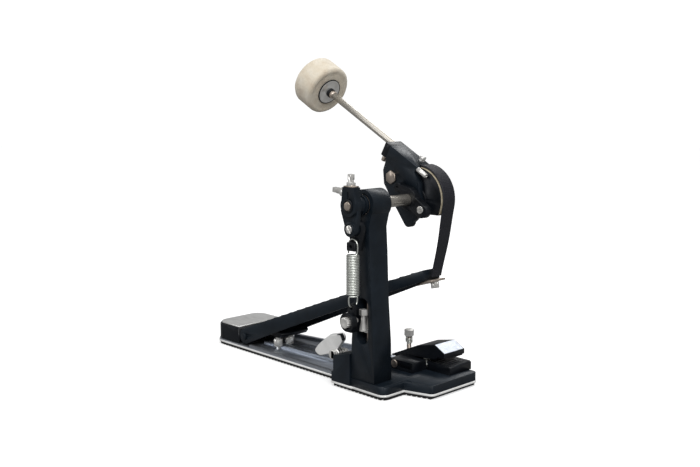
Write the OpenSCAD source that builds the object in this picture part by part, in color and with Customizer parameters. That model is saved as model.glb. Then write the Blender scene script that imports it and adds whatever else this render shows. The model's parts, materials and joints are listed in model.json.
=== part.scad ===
// Single-post bass drum pedal with a strap drive.
// X runs along the shaft towards the post, Y towards the drum, Z up.
// The origin is on the floor, under the shaft, in the plane of the beater.

/* [Shaft and beater] */
// Height of the shaft's axis above the floor
shaft_z = 212; // [211:0.5:213]
// Radius of the shaft
shaft_r = 6.5; // [6:0.25:7]
// Angle of the beater rod above the horizontal, at rest
rod_tilt = 29; // [26:0.5:31]
// Distance from the shaft's axis to the rod's axis
rod_offset = 29; // [28.5:0.5:30]
// Radius of the beater rod
rod_r = 4; // [3.5:0.25:4.25]
// Radius of the felt head
felt_r = 31.5; // [26:0.5:34]
// Length of the felt head
felt_h = 33; // [28:1:40]
// Distance along the rod from the shaft to the felt head
felt_at = 198.6; // [170:0.2:210]

/* [Cam and strap] */
// Radius of the cam wheel
cam_r = 35.2; // [34.5:0.1:35.2]
// Width of the strap
strap_w = 20; // [16:1:20]
// Thickness of the strap
strap_t = 2.5; // [1.5:0.5:2.5]
// Radius at the middle of the strap's thickness
strap_r = 37.75; // [37.75:0.05:38]
// Toe of the strap, towards the drum from the shaft
toe_y = 20; // [20:0.5:21]
// Toe of the strap, above the floor
toe_z = 122; // [122:0.5:124]

/* [Post] */
// Inner face of the post
post_in = 71; // [70:0.5:72]
// Outer face of the post
post_out = 98.5; // [98:0.25:99]
// Radius of the post's head
head_r = 16.5; // [15:0.5:18]
// Width of the slot
slot_w = 17; // [15:0.5:18]
// Bottom of the slot above the floor
slot_low = 57.5; // [55:0.5:58]
// Top of the slot above the floor
slot_high = 109.5; // [109:0.5:112]

/* [Return spring] */
// Place of the spring along the shaft
spring_x = 113; // [113:0.5:113.5]
// Outer radius of the spring
spring_ro = 7.5; // [6.5:0.25:7.5]
// Wire thickness of the spring
wire_d = 1.7; // [1.2:0.1:2]
// Bottom of the coil
coil_low = 114.5; // [113:0.5:116]
// Top of the coil
coil_high = 160; // [156:0.5:160]
// Length of the rocker arm
rocker_arm = 25; // [25:0.5:26]

/* [Base] */
// Thickness of the rubber pads
pad_t = 3.6; // [3:0.2:4]
// Top of the bright edge strips
trim_top = 6; // [5.6:0.2:6]
// Top of the rail's floor
rail_top = 7.5; // [7:0.25:7.5]
// Top of the front casting
cast_top = 15.5; // [15:0.25:15.5]
// Straight outer edge of the rail
rail_out = 84; // [83:0.5:84]
// Inner edge of the rail at the heel
rail_in = 6; // [4:1:6]
// Inner edge of the rail at the front
front_in = -22; // [-23:0.5:-22]
// Back end of the heel
heel_end = -298; // [-304:1:-296]

/* [Footboard] */
// Place of the heel hinge along Y
hinge_y = -234.6; // [-235:0.2:-234]
// Height of the heel hinge
hinge_z = 19; // [19:0.25:19.5]
// Radius of the heel hinge pin
hinge_r = 3; // [2.5:0.25:3]
// Wall thickness of the footboard's channel
board_t = 2.8; // [2.4:0.1:2.8]

/* [Hoop clamp] */
// Place of the jaw's pivot along Y
jaw_y = -8; // [-8.5:0.25:-8]
// Height of the jaw's pivot
jaw_z = 22; // [22:0.25:22.25]
// Height of the hoop seat
seat_top = 25.5; // [24:0.5:26]

/* [Hidden] */
$fn = 64;

fit = 0.04;        // radial clearance of a pin in its bore
joint_gap = 0.35;  // half the gap between two strap pieces
strap_steps = 3;   // strap pieces that unbend between cam and free length
unwrap = 60;       // arc of strap that leaves the cam at full travel
wrap_end = 84;     // angle at which the strap starts on the cam

// Angle and length of the straight strap, from the tangent to the cam
toe_dist = norm([toe_y, toe_z - shaft_z]);
tangent = atan2(toe_z - shaft_z, toe_y) + acos(strap_r / toe_dist);
free_len = sqrt(toe_dist * toe_dist - strap_r * strap_r);
gap_angle = joint_gap / strap_r * 180 / PI;
function strap_joint(k) = tangent + unwrap * (strap_steps - k) / strap_steps;

liner_t = 0.9;
side = 5.6;        // side of the beater holder that faces away from the shaft
collar_at = 59.5;  // end of the holder's block, where the collar starts
screw_hold = 4;    // depth of the adjuster screw's bores above and below the slot
pin_z = shaft_z - rocker_arm;
board_slope = 0.408;
board_low_slope = 0.446;
head_x = 121.5;    // outer end of the shaft group

navy = [0.09, 0.12, 0.16];
black = [0.04, 0.05, 0.06];
steel = [0.78, 0.78, 0.76];
chrome = [0.85, 0.87, 0.88];
rubber = [0.03, 0.03, 0.03];
silver = [0.62, 0.65, 0.68];

// ---- shared shapes ----

// Extrudes a profile drawn in Y and Z between two places on X
module along_x(x0, x1) {
    translate([x0, 0, 0]) rotate([90, 0, 90]) linear_extrude(x1 - x0) children();
}
module rod_x(x0, x1, r, y, z, sides = 64) {
    translate([x0, y, z]) rotate([0, 90, 0]) cylinder(h = x1 - x0, r = r, $fn = sides);
}
module block(low, high) { translate(low) cube(high - low); }
// Points along an arc about a centre, for an outline
function arc(c, r, a0, a1, steps = 12) =
    [for (k = [0:steps]) c + r * [cos(a0 + (a1 - a0) * k / steps), sin(a0 + (a1 - a0) * k / steps)]];
// Straight bar with round ends
module bar2d(p, q, w) {
    turn = atan2(q.y - p.y, q.x - p.x);
    polygon(concat(arc(q, w / 2, turn - 90, turn + 90), arc(p, w / 2, turn + 90, turn + 270)));
}
// Outline of the heel end between two places on X, with round back corners
module heel_plan(x0, x1, back, corner, front) {
    polygon(concat([[x0, front]], arc([x0 + corner, back + corner], corner, 180, 270),
        arc([x1 - corner, back + corner], corner, 270, 360), [[x1, front]]));
}
// Ring sector about the shaft, with angles measured from +Y
module arc_band(r_in, r_out, a0, a1, x0, x1) {
    far = 90;
    mid = (a0 + a1) / 2;
    translate([0, 0, shaft_z]) along_x(x0, x1) intersection() {
        difference() { circle(r_out, $fn = 128); circle(r_in, $fn = 128); }
        polygon([[0, 0], far * [cos(a0), sin(a0)], far * [cos(mid), sin(mid)], far * [cos(a1), sin(a1)]]);
    }
}
// Frame of the beater rod: its z runs up the rod, its y away from the shaft
module on_rod() {
    translate([0, rod_offset * sin(rod_tilt), shaft_z + rod_offset * cos(rod_tilt)])
        rotate([90 - rod_tilt, 0, 0]) children();
}
module ring(r_out, r_in, h) {
    difference() {
        cylinder(h = h, r = r_out);
        translate([0, 0, -1]) cylinder(h = h + 2, r = r_in);
    }
}
// Round knob with grooves cut along it
module knurled(r, h, grooves = 16) {
    difference() {
        cylinder(h = h, r = r);
        for (i = [0:grooves - 1]) rotate(i * 360 / grooves) translate([r, 0, -1]) rotate(45)
            translate([-0.5, -0.5, 0]) cube([1, 1, h + 2]);
    }
}

// ---- base ----

module rail_plan(grow) {
    corner = 18;
    back = heel_end + corner;
    polygon(concat(arc([rail_in + corner, back], corner + grow, 180, 270),
        arc([rail_out - corner, back], corner + grow, 270, 360), [[rail_out + grow, -24.6],
        [front_in - grow, -24.6], [front_in - grow, -70], [rail_in - grow, -242]]));
}
function rail_edge(y) = rail_in + (front_in - rail_in) * (y + 242) / 172;
// Ridge that keeps its share of the rail's width from heel to front
module rail_ridge(share, w) {
    y0 = -222;
    y1 = -72;
    x0 = rail_out + (rail_edge(y0) - rail_out) * share;
    x1 = rail_out + (rail_edge(y1) - rail_out) * share;
    translate([0, 0, rail_top - 0.2]) linear_extrude(4)
        polygon([[x0, y0], [x0 + w, y0], [x1 + w, y1], [x1, y1]]);
}
module base_rail() {
    color(silver) {
        translate([0, 0, trim_top]) linear_extrude(rail_top - trim_top) rail_plan(0);
        block([80.5, -222, rail_top - 0.2], [rail_out, -50, rail_top + 3]);
        for (share = [0.34, 0.42, 0.66]) rail_ridge(share, 3);
        rail_ridge(1, 5);
    }
}
module rail_trim() {
    color("white") translate([0, 0, pad_t]) linear_extrude(trim_top - pad_t) rail_plan(0.7);
}
module rail_pad() {
    color(rubber) difference() {
        linear_extrude(pad_t) rail_plan(-1.2);
        for (y = [heel_end + 9:6:-34]) block([-40, y, -1], [100, y + 2.4, 1.8]);
    }
}
module casting_plan(grow) {
    polygon(concat([[99 + grow, -19]], arc([90, 24], 9 + grow, 0, 90), [[66.6 + grow, 33 + grow]],
        arc([52, 60], 6 + grow, 14, 90), arc([front_in + 6, 60], 6 + grow, 90, 180),
        [[front_in - grow, -24.2], [69.8, -24.2], [69.8, -19]]));
}
module base_casting() {
    color(navy) difference() {
        translate([0, 0, trim_top]) linear_extrude(cast_top - trim_top) casting_plan(0);
        block([60, 30.5, cast_top - 1], [110, 40, cast_top + 1]);
    }
}
module casting_trim() {
    color("white") translate([0, 0, pad_t]) linear_extrude(trim_top - pad_t) {
        casting_plan(0.7);
        translate([85, -49]) square([15.6, 34]);
    }
}
module casting_pad() {
    color(rubber) difference() {
        linear_extrude(pad_t) {
            casting_plan(-1.2);
            translate([85.6, -47]) square([12.2, 34]);
        }
        for (y = [-45:6:63]) block([-40, y, -1], [110, y + 2.4, 1.8]);
    }
}
module front_block() {
    top = [[-46, 36.5], [-19.2, 43]];
    color(navy) {
        along_x(84.3, 100) polygon([[-46, trim_top], top[0], top[1], [-19.2, trim_top]]);
        along_x(70, 84.3) polygon([[-46, rail_top], top[0], top[1], [-19.2, rail_top]]);
        block([84.9, -49, trim_top], [100, -45.9, 17]);
    }
}

// ---- heel ----

module heel_block() {
    front = -245.6;
    color(black) difference() {
        union() {
            translate([0, 0, rail_top]) linear_extrude(28 - rail_top)
                heel_plan(7, 83, heel_end + 1, 17, front);
            along_x(14, 76) {
                translate([hinge_y, hinge_z]) circle(7.2);
                translate([front - 1, hinge_z - 7.2]) square([hinge_y - front + 1, 14.4]);
            }
        }
        rod_x(10, 80, hinge_r + fit / 2, hinge_y, hinge_z);
    }
}
module heel_plate() {
    color([0.7, 0.7, 0.69]) translate([0, 0, 28]) linear_extrude(2)
        heel_plan(9, 81, heel_end + 3, 15, -247.5);
}
module heel_bracket() {
    color(black) along_x(22, 68) polygon([[-222, 24], [-222, 28], [-190, 35], [-180, 33],
        [-176, 29], [-180, 24]]);
}
module rail_bolts() {
    color(chrome) for (x = [43, 62]) translate([x, -190, rail_top]) {
        cylinder(h = 5, r = 3);
        translate([0, 0, 4]) knurled(5.5, 9.5);
        translate([0, 0, 13]) cylinder(h = 24 - rail_top - 13, r = 4);
    }
}
module hinge_pin() { color(steel) rod_x(4.5, 83.6, hinge_r, hinge_y, hinge_z); }
module lock_lever() {
    color(chrome) difference() {
        along_x(79.5, 88) {
            bar2d([-88, 30], [-53, 52], 9);
            bar2d([-70, 41], [-57, 33.5], 8);
            translate([-56, 33]) circle(7);
        }
        rod_x(79, 89, 3 + fit, -56, 33);
    }
}
module lock_screw() {
    color(chrome) {
        rod_x(74, 88.4, 3, -56, 33);
        difference() {
            rod_x(88.4, 92.5, 5.5, -56, 33);
            block([91, -57.1, 29], [94, -54.9, 37]);
        }
        block([70, -60, rail_top], [75.5, -52, 37]);
    }
}

// ---- post ----

module post() {
    seat = 5.4;
    color(navy) difference() {
        along_x(post_in, post_out) {
            translate([0, shaft_z]) circle(head_r);
            polygon([[-18, cast_top], [18, cast_top], [17, 60], [13, 110], [11, 160], [9.2, 187],
                [13, 202], [-13, 202], [-9.2, 187], [-11, 160], [-13, 110], [-17, 60]]);
        }
        rod_x(post_in - 1, post_out + 1, 8.6, 0, shaft_z);
        rod_x(post_in - 1, post_in + seat, 11, 0, shaft_z);
        rod_x(post_out - seat, post_out + 1, 11, 0, shaft_z);
        // slot for the spring adjuster
        for (z = [slot_low + slot_w / 2, slot_high - slot_w / 2])
            rod_x(post_out - 20, post_out + 1, slot_w / 2, 0, z);
        block([post_out - 20, -slot_w / 2, slot_low + slot_w / 2],
            [post_out + 1, slot_w / 2, slot_high - slot_w / 2]);
        translate([post_out - 10, 0, slot_low - screw_hold])
            cylinder(h = slot_high - slot_low + 2 * screw_hold, r = 2.4 + fit / 2);
    }
}
module bearings() {
    color(steel) for (x = [post_in + 0.2, post_out - 5.4]) translate([x, 0, shaft_z]) rotate([0, 90, 0])
        difference() {
            cylinder(h = 5.2, r = 10.98);
            translate([0, 0, -1]) cylinder(h = 8, r = shaft_r + fit);
            translate([0, 0, -0.1]) ring(9.4, 8, 0.7);
            translate([0, 0, 4.6]) ring(9.4, 8, 0.7);
        }
}
module tension_screw() {
    held = screw_hold - 0.1;
    color(steel) translate([post_out - 10, 0, slot_low - held])
        cylinder(h = slot_high - slot_low + 2 * held, r = 2.4);
}
module tension_wheel() {
    color(chrome) translate([post_out - 10, 0, 70]) difference() {
        union() {
            knurled(6.4, 6);
            cylinder(h = 22, r = 4.2);
            translate([0, 0, 16]) knurled(6.4, 6);
        }
        translate([0, 0, -1]) cylinder(h = 24, r = 2.4 + fit);
    }
}
module adjuster_yoke() {
    color(black) {
        difference() {
            union() {
                block([95.8, -5, 74], [98.6, 5, 96]);
                block([98.6, -9.6, 72], [112, 7, 98]);
                rod_x(112, 119, 10.5, -4, 85);
            }
            rod_x(104, 120, 3.4, -4, 85);
            rod_x(114.6, 120, 7, -4, 85);
        }
        difference() {
            union() {
                rod_x(spring_x - 2.5, spring_x + 2.5, 5, 0, 101);
                block([spring_x - 2.5, -5, 94], [spring_x + 2.5, 5, 101]);
            }
            rod_x(spring_x - 4, spring_x + 4, 2.6, 0, 101.4);
        }
    }
}
module adjuster_knob() {
    color(chrome) translate([104.2, -4, 85]) rotate([0, 90, 0]) {
        cylinder(h = 12, r = 3.4 - fit);
        translate([0, 0, 10.8]) knurled(6, 8, 14);
    }
}

// ---- hoop clamp ----

module clamp_housing() {
    color(black) difference() {
        union() {
            block([-29, -38, cast_top], [38, 19, 17.4]);
            block([14.2, -16, 17.3], [38, 19, 27]);
            block([-29, -16, 17.3], [-23.2, 19, 27]);
        }
        rod_x(-30, 39, 3 + fit / 2, jaw_y, jaw_z);
        block([37.2, -15, 19], [39, -12.6, 25.5]);
        block([37.2, 1, 19], [39, 17, 20]);
    }
}
module clamp_pin() {
    color(steel) {
        rod_x(-28.5, 38, 3, jaw_y, jaw_z);
        rod_x(38, 39.6, 4.6, jaw_y, jaw_z);
    }
}
module hoop_seat() {
    color(black) difference() {
        block([-25, 20, cast_top], [13.4, 54, seat_top]);
        translate([0, 54, seat_top]) rotate([45, 0, 0]) cube([80, 2.4, 2.4], center = true);
        for (y = [26:5:48]) block([-22, y, seat_top - 0.7], [10.4, y + 1.6, seat_top + 1]);
    }
}
module jaw_spring() {
    color(steel) translate([4, 11, 17.4]) ring(4.4, 3.2, 9.6);
}
module clamp_jaw() {
    color(black) difference() {
        along_x(-22.4, 13.4) polygon([[-36, 22.8], [5.3, 41.5], [30.5, 46.6], [45.6, 38.6], [45.6, 33],
            [36, 33], [31, 29.4], [2, 27.8], [-2.6, 18.3], [-13.2, 18.3], [-19, 21.6], [-36, 21.6]]);
        rod_x(-24, 15, 3 + fit, jaw_y, jaw_z);
        translate([-5, -25, 10]) cylinder(h = 40, r = 4.8);
    }
}
module jaw_pad() { color(rubber) block([-20, 37, 31.5], [11, 45, 33]); }
module thumbscrew() {
    color(chrome) translate([-5, -25, 0]) {
        translate([0, 0, 17.5]) cylinder(h = 27, r = 2.9);
        translate([0, 0, 44]) knurled(5.8, 8);
        translate([0, 0, 43]) cylinder(h = 1.2, r = 4.6);
    }
}
module thumb_spring() {
    color(steel) translate([-5, -25, 35]) ring(4.4, 3.1, 7.9);
}

// ---- footboard ----

module board_plan(inset) {
    polygon([[82 - inset, -250], [80 - inset, -190], [62 - inset, -100], [34 - inset, -20], [14 - inset, 20],
        [-13 + inset, 20], [-9 + inset, -20], [-3 + inset, -100], [3 + inset, -190], [6 + inset, -250]]);
}
function board_top(y) = hinge_z + 10 + board_slope * (y - hinge_y + 2);
function board_low(y) = hinge_z - 9.6 + board_low_slope * (y - hinge_y - 3.6);
board_tip = 15;              // front face of the channel
board_neck = hinge_y + 3.6;  // where the deck starts
function board_ceiling(y) = board_top(y) - board_t;
// Outside of the channel, filled in
module board_outside() {
    intersection() {
        linear_extrude(180) board_plan(0);
        along_x(-30, 90) polygon(concat(arc([hinge_y, hinge_z], 9.7, 112, 294, 20),
            [[board_tip, board_low(board_tip)], [board_tip, board_top(board_tip)]]));
    }
}
// Space under the deck and behind the tip, which holds the side walls and the hinge ears
module under_deck() {
    along_x(-31, 91) polygon([[board_neck - 30, 90], [board_neck, 90],
        [board_neck, board_ceiling(board_neck)], [board_tip - board_t, board_ceiling(board_tip - board_t)],
        [board_tip - board_t, 0], [board_neck - 30, 0]]);
}
module footboard() {
    color(navy) difference() { board_outside(); under_deck(); }
}
module board_skirts() {
    color(navy) difference() {
        intersection() {
            board_outside();
            under_deck();
            linear_extrude(180) difference() { board_plan(0); board_plan(board_t); }
        }
        rod_x(0, 90, hinge_r + fit, hinge_y, hinge_z);
    }
}
module toe_clamp() {
    color(steel) along_x(-12, 12)
        polygon([[0, board_low(0) - 0.05], [14.8, board_low(14.8) - 0.05], [19, 119.8], [24, 120.7],
            [24.4, 118.4], [12.5, 116.087], [1.4, 110.4]]);
}
module toe_nut() {
    color(chrome) translate([0, 18, 117.13]) rotate([11, 0, 0]) translate([0, 0, -7.8]) knurled(4.9, 7.8);
}

// ---- shaft group ----

module axle() { color(steel) rod_x(-15, head_x - 0.5, shaft_r, 0, shaft_z); }
module axle_cap() { color("white") rod_x(head_x - 0.5, head_x + 0.9, 4.6, 0, shaft_z); }
module cam() {
    half = 10.4;
    color(black) difference() {
        union() {
            intersection() {
                rod_x(-half, half, cam_r, 0, shaft_z);
                // kept clear of the rod's holder, and cut off level underneath
                on_rod() block([-60, -80, -60], [60, 60, 15.6]);
                block([-60, -14, shaft_z - 17], [60, 80, shaft_z + 60]);
            }
            rod_x(-12, 11.6, 12, 0, shaft_z);
        }
        rod_x(-20, 20, shaft_r + fit / 2, 0, shaft_z);
    }
}
module strap_liner() {
    color([0.62, 0.55, 0.42]) arc_band(cam_r, cam_r + liner_t, tangent - 14, wrap_end, -10.8, 10.8);
}
module strap_arc(a0, a1) {
    color([0.1, 0.1, 0.15]) arc_band(strap_r - strap_t / 2, strap_r + strap_t / 2, a0, a1,
        -strap_w / 2, strap_w / 2);
}
module strap_wrap() { strap_arc(strap_joint(0) + gap_angle, wrap_end); }
module strap_1() { strap_arc(strap_joint(1) + gap_angle, strap_joint(0) - gap_angle); }
module strap_2() { strap_arc(strap_joint(2) + gap_angle, strap_joint(1) - gap_angle); }
module strap_3() { strap_arc(strap_joint(3) + gap_angle, strap_joint(2) - gap_angle); }
module strap_free() {
    color([0.1, 0.1, 0.15]) translate([0, 0, shaft_z]) along_x(-strap_w / 2, strap_w / 2)
        rotate(tangent) translate([strap_r - strap_t / 2, -(free_len - 1.4)])
            square([strap_t, free_len - 1.4 - joint_gap]);
}
module cam_clamp() {
    knob = [-16, 13];
    color(black) difference() {
        translate([0, 0, shaft_z]) along_x(18.8, 28) {
            circle(12.5);
            bar2d(knob, [2, 9.5], 8);
            bar2d([3, -1], [20, -11.5], 16);
            translate(knob) circle(5.2);
        }
        rod_x(18, 29, shaft_r + fit / 2, 0, shaft_z);
        rod_x(26.5, 29, 1.5, knob.x, shaft_z + knob.y);
    }
}
module clamp_screw() {
    color(chrome) difference() {
        rod_x(28, 29.6, 4.2, 20, shaft_z - 10);
        block([28.9, 15.5, shaft_z - 10.6], [30, 24.5, shaft_z - 9.4]);
    }
}
module holder_cheek() {
    polygon([[side, 58], [side, 13], [-1.5, 13], [-8, 2], [-18, -4], [-30, -15], [-46, -15], [-52, -13],
        [-62, -5], [-54, 13], [-46, 31], [-38, 47], [-25, 56], [-11, 58]]);
    translate([-55.5, -6.5]) circle(6.5);
}
module beater_holder() {
    color(navy) on_rod() difference() {
        union() {
            along_x(11.8, 18.6) holder_cheek();
            block([-7, -11, 17], [11.9, side, collar_at]);
            block([11, -11, 46], [18.6, side, collar_at]);
        }
        translate([0, 0, 10]) cylinder(h = 80, r = rod_r + fit);
        rod_x(10, 20, shaft_r + fit / 2, -rod_offset, 0);
    }
}
module holder_collar() {
    color(black) on_rod() difference() {
        block([-7, -11, collar_at], [18.6, side, collar_at + 8.5]);
        translate([0, 0, collar_at - 1]) cylinder(h = 14, r = rod_r + fit);
    }
}
module holder_bolt() {
    color(steel) on_rod() {
        translate([18.6, -25, 40]) rotate([0, 90, 0]) cylinder(h = 2.6, r = 8, $fn = 6);
        translate([14.5, -11, collar_at + 4.5]) rotate([90, 0, 0]) cylinder(h = 6.5, r = 3);
    }
}
module rod_screw() {
    color(chrome) on_rod() translate([0, side, 24]) rotate([-90, 0, 0]) {
        cylinder(h = 1.8, r = 3.4);
        translate([-2.8, -2.8, 1.6]) cube([5.6, 5.6, 4.6]);
    }
}
module strap_screw() {
    color(chrome) on_rod() translate([15.4, 2.6, -1.8]) difference() {
        cylinder(h = 14.7, r = 2.8);
        translate([0, 0, -1]) cylinder(h = 3, r = 1.3, $fn = 6);
    }
}

// ---- beater ----

module beater_rod() { color(steel) on_rod() translate([0, 0, 18]) cylinder(h = felt_at + 10, r = rod_r); }
module beater_neck() {
    color(steel) on_rod() translate([0, 0, felt_at - 11]) difference() {
        cylinder(h = 9.4, r = 6.2, $fn = 6);
        translate([0, 0, -1]) cylinder(h = 12, r = rod_r + 0.02);
    }
}
module beater_washer() {
    color(chrome) on_rod() translate([0, 0, felt_at - 1.6]) ring(15.6, rod_r + 0.02, 1);
}
module beater_ring() {
    color(black) on_rod() translate([0, 0, felt_at - 0.6]) ring(16.4, rod_r + 0.02, 0.6);
}
module beater_felt() {
    edge = 5;
    color([0.86, 0.82, 0.74]) on_rod() translate([0, 0, felt_at]) difference() {
        rotate_extrude($fn = 96) {
            square([felt_r - edge, felt_h]);
            translate([0, edge]) square([felt_r, felt_h - 2 * edge]);
            for (z = [edge, felt_h - edge]) translate([felt_r - edge, z]) circle(edge);
        }
        translate([0, 0, -1]) cylinder(h = 29.2, r = rod_r + 0.02);
    }
}

// ---- spring side ----

module rocker() {
    color(navy) difference() {
        union() {
            along_x(99.6, 103.4) translate([0, shaft_z]) circle(11);
            rod_x(103.3, 111.1, 9.2, 0, shaft_z);
            along_x(111, head_x - 0.8) {
                translate([0, shaft_z]) circle(11.5);
                polygon([[-11, shaft_z - 2], [-8.5, shaft_z + 20], [8.5, shaft_z + 20], [11, shaft_z - 2]]);
            }
            along_x(111, 117) polygon([[-11, shaft_z], [-15, shaft_z - 6], [-8, pin_z], [8, pin_z],
                [11, shaft_z]]);
            rod_x(111, head_x - 3, 8.3, 0, pin_z);
        }
        rod_x(99, head_x - 0.5, shaft_r + fit / 2, 0, shaft_z);
        rod_x(110, head_x, 3 + fit / 2, 0, pin_z);
        // split that the key screw closes
        block([110, -0.6, shaft_z + 4], [head_x + 1, 0.6, shaft_z + 15]);
    }
}
module rocker_plate() {
    color(steel) block([111.5, -7.5, shaft_z + 20], [head_x - 1.2, 7.5, shaft_z + 21.4]);
}
module rocker_screw() {
    color(chrome) translate([116, 0, shaft_z + 21.4]) {
        cylinder(h = 3.6, r = 5, $fn = 6);
        translate([0, 0, 3.6]) cylinder(h = 3, r = 3);
        translate([-2.6, -2.6, 6.4]) cube([5.2, 5.2, 6]);
    }
}
module rocker_key() {
    color(chrome) translate([116, -9.25, shaft_z + 14]) rotate([83.5, 0, 0]) {
        cylinder(h = 4, r = 5);
        translate([0, 0, 4]) cylinder(h = 7, r = 3.4);
        translate([-2.6, -2.6, 11]) cube([5.2, 5.2, 6]);
    }
}
module hanger_pin() {
    color(chrome) {
        rod_x(103.8, head_x - 3, 3, 0, pin_z);
        rod_x(head_x - 3, head_x - 1.4, 4.4, 0, pin_z);
    }
}
module hanger() {
    color(black) difference() {
        union() {
            along_x(104, 110.6) {
                translate([0, pin_z]) circle(10);
                polygon([[-10, pin_z], [10, pin_z], [6, 163.5], [-6, 163.5]]);
            }
            block([110.5, -6, 163.5], [117, 6, 172.5]);
        }
        rod_x(103, 111, 3 + fit, 0, pin_z);
        rod_x(109.6, 118, 2, 0, 168);
    }
}
module spring() {
    color(steel) {
        translate([spring_x, 0, coil_low]) ring(spring_ro, spring_ro - wire_d, coil_high - coil_low);
        translate([spring_x, -6.6, coil_high - 0.2]) cylinder(h = 2.4, r = wire_d / 2);
    }
}

base_rail();
rail_trim();
rail_pad();
base_casting();
casting_trim();
casting_pad();
front_block();
heel_block();
heel_plate();
heel_bracket();
rail_bolts();
hinge_pin();
lock_lever();
lock_screw();
post();
bearings();
tension_screw();
adjuster_yoke();
clamp_housing();
clamp_pin();
hoop_seat();
jaw_spring();
footboard();
board_skirts();
toe_clamp();
toe_nut();
axle();
axle_cap();
cam();
strap_liner();
strap_wrap();
cam_clamp();
clamp_screw();
beater_holder();
holder_collar();
holder_bolt();
rod_screw();
strap_screw();
rocker();
rocker_plate();
rocker_screw();
rocker_key();
hanger_pin();
strap_1();
strap_2();
strap_3();
strap_free();
beater_rod();
beater_neck();
beater_washer();
beater_ring();
beater_felt();
hanger();
spring();
tension_wheel();
adjuster_knob();
clamp_jaw();
jaw_pad();
thumbscrew();
thumb_spring();
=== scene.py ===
"""The looks of a single-post bass drum pedal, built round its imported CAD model.

Lengths are in metres, in the CAD model's frame: X runs along the shaft towards
the post, Y towards the drum, Z up. Sizes written with MM are millimetres.
"""
import json
import math
from itertools import product

import bmesh
import bpy
from mathutils import Matrix, Vector, noise
from mathutils.bvhtree import BVHTree


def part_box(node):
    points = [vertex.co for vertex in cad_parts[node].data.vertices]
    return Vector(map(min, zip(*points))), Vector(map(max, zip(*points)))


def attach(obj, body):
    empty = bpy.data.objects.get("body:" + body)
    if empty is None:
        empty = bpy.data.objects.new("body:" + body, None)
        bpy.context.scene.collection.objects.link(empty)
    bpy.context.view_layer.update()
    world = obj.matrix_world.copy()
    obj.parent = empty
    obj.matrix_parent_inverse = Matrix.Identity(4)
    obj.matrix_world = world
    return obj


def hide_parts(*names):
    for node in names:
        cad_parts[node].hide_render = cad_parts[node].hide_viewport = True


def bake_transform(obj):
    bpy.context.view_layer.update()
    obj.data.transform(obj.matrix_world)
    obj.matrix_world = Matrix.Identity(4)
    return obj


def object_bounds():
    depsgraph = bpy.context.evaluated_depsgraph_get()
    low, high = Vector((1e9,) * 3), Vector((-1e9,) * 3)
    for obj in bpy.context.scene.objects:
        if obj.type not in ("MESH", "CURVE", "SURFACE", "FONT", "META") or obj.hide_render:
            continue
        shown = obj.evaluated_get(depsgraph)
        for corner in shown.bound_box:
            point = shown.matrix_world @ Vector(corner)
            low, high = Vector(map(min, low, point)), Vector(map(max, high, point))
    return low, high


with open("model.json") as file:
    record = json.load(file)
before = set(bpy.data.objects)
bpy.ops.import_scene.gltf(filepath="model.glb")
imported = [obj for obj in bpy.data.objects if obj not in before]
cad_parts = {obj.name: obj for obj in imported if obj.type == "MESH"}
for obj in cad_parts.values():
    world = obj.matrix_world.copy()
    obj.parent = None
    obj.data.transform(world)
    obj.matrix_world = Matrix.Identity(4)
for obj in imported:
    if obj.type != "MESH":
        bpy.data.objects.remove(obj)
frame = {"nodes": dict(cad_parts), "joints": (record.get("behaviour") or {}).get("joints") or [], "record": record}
cad_low, cad_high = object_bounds()
NODES = frame["nodes"]
JOINTS = {joint["name"]: joint for joint in frame["joints"]}
BODY_OF = {
    node: body
    for body, members in frame["record"]["behaviour"]["bodies"].items()
    for node in members
}
SLOT_OF = {row["node"]: row["material_slot"] for row in frame["record"]["subparts"]}

MM = 0.001
X, Z = Vector((1, 0, 0)), Vector((0, 0, 1))

# Camera of the reference view
CAMERA_PLACE = Vector((0.78428, 0.69039, 0.32350))
CAMERA_HEADING = math.radians(46)
CAMERA_DIP = math.radians(8.35)
CAMERA_LENS = 46.88
CAMERA_SENSOR = 36


# ---------------------------------------------------------------- materials


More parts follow.
